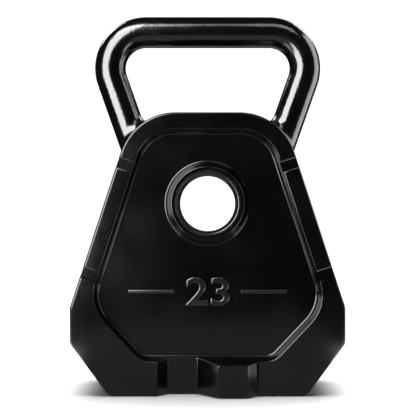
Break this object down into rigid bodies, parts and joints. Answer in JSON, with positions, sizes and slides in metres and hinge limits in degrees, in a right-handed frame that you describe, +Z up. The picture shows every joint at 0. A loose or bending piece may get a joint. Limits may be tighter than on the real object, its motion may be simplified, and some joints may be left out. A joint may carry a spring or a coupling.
{
  "type": "kettlebell",
  "caption": "Flat-sided kettlebell: iron core in a moulded jacket, bent round bar handle, sleeved through bore and a wavy base that nests with another.",
  "frame": {"origin": "middle of the rectangle round the base, on the surface the bell stands on", "axes": "+Z up, +X to the right of the front face, and the front face looks along -Y"},
  "size_m": [0.2364, 0.1106, 0.333],
  "materials": {
    "core_iron": "matte",
    "jacket": "satin",
    "powder_coat": "gloss"
  },
  "bodies": {
    "root": {"core_casting": "core_iron", "moulded_jacket": "jacket", "hub_sleeve": "powder_coat", "handle_bar": "powder_coat", "weld_bead_left": "powder_coat", "weld_bead_right": "powder_coat"}
  },
  "joints": []
}
